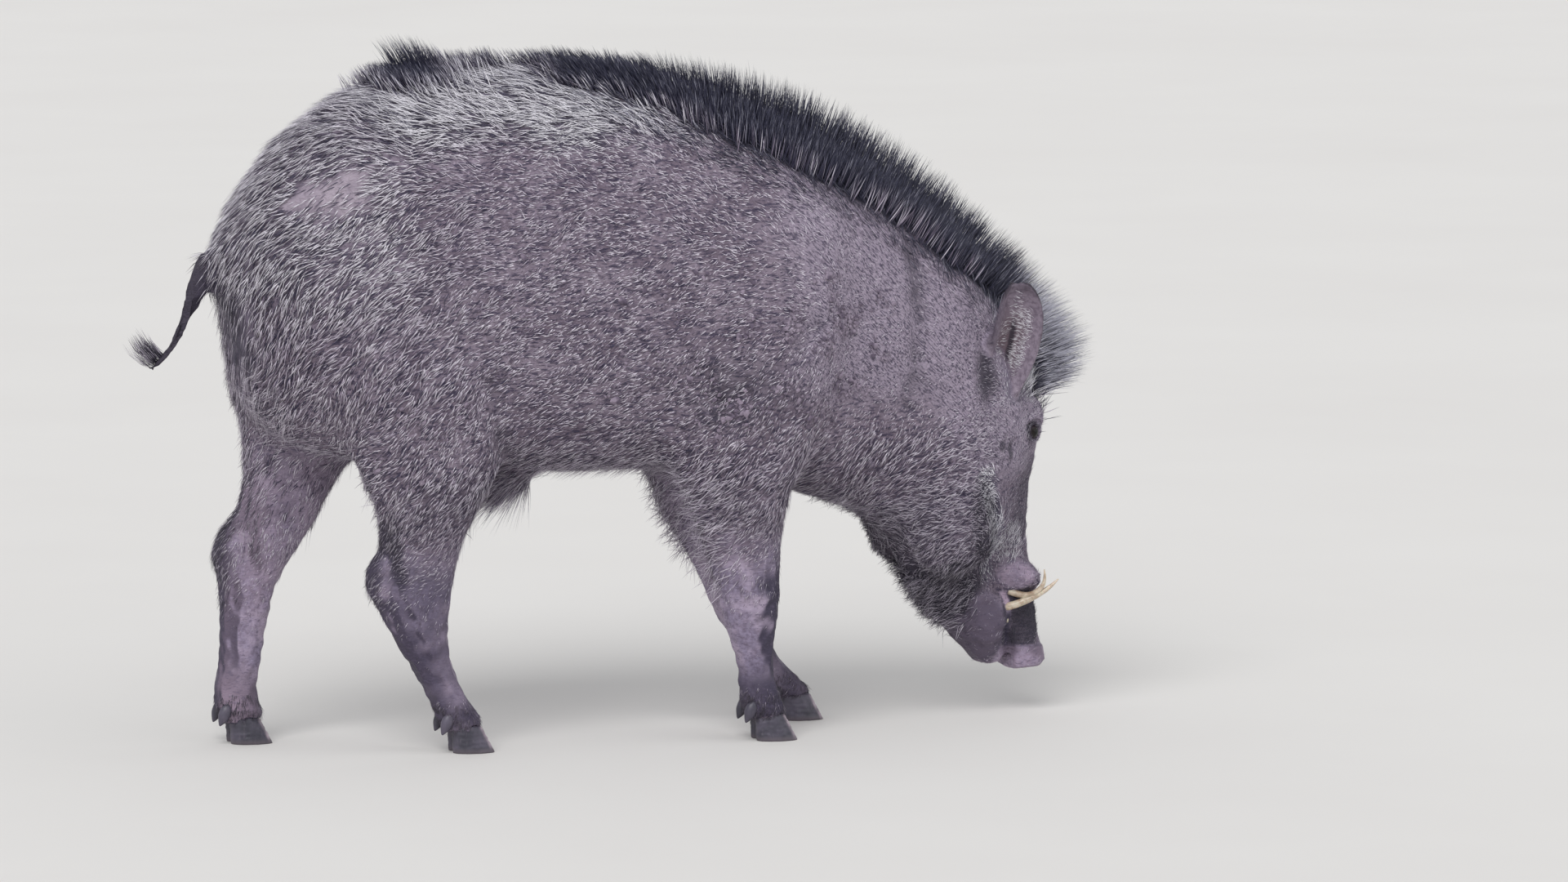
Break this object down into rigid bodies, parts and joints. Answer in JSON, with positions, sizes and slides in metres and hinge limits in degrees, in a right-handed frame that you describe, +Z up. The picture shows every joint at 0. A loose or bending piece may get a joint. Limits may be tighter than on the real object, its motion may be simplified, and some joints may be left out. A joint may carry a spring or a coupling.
{
  "type": "wild boar",
  "caption": "Life-size still model of an adult male wild boar, standing with its nose lowered to the ground, in sparse bristly coat with a standing mane.",
  "frame": {"origin": "on the ground under the middle of the model's box", "axes": "+X the way the boar faces, +Y to its left, +Z up"},
  "size_m": [1.32, 0.3628, 0.954],
  "materials": {
    "coat": "sparse stiff bristles over dark skin",
    "bare_skin": "satin",
    "long_hair": "coarse long hair",
    "horn": "satin",
    "ivory": "satin",
    "wet_eye": "wet gloss"
  },
  "bodies": {
    "root": {"trunk": "coat", "neck": "coat", "head": "coat", "lower_jaw": "coat", "snout_disc": "bare_skin", "ear_left": "bare_skin", "ear_right": "bare_skin", "eye_left": "wet_eye", "eye_right": "wet_eye", "upper_tusk_left": "ivory", "upper_tusk_right": "ivory", "lower_tusk_left": "ivory", "lower_tusk_right": "ivory", "mane": "long_hair", "rump_tuft": "long_hair", "tail": "bare_skin", "fore_leg_left_upper": "coat", "fore_leg_left_lower": "bare_skin", "fore_leg_left_hoof_inner": "horn", "fore_leg_left_hoof_outer": "horn", "fore_leg_left_dewclaw_inner": "horn", "fore_leg_left_dewclaw_outer": "horn", "fore_leg_right_upper": "coat", "fore_leg_right_lower": "bare_skin", "fore_leg_right_hoof_inner": "horn", "fore_leg_right_hoof_outer": "horn", "fore_leg_right_dewclaw_inner": "horn", "fore_leg_right_dewclaw_outer": "horn", "hind_leg_left_upper": "coat", "hind_leg_left_lower": "bare_skin", "hind_leg_left_hoof_inner": "horn", "hind_leg_left_hoof_outer": "horn", "hind_leg_left_dewclaw_inner": "horn", "hind_leg_left_dewclaw_outer": "horn", "hind_leg_right_upper": "coat", "hind_leg_right_lower": "bare_skin", "hind_leg_right_hoof_inner": "horn", "hind_leg_right_hoof_outer": "horn", "hind_leg_right_dewclaw_inner": "horn", "hind_leg_right_dewclaw_outer": "horn"}
  },
  "joints": []
}
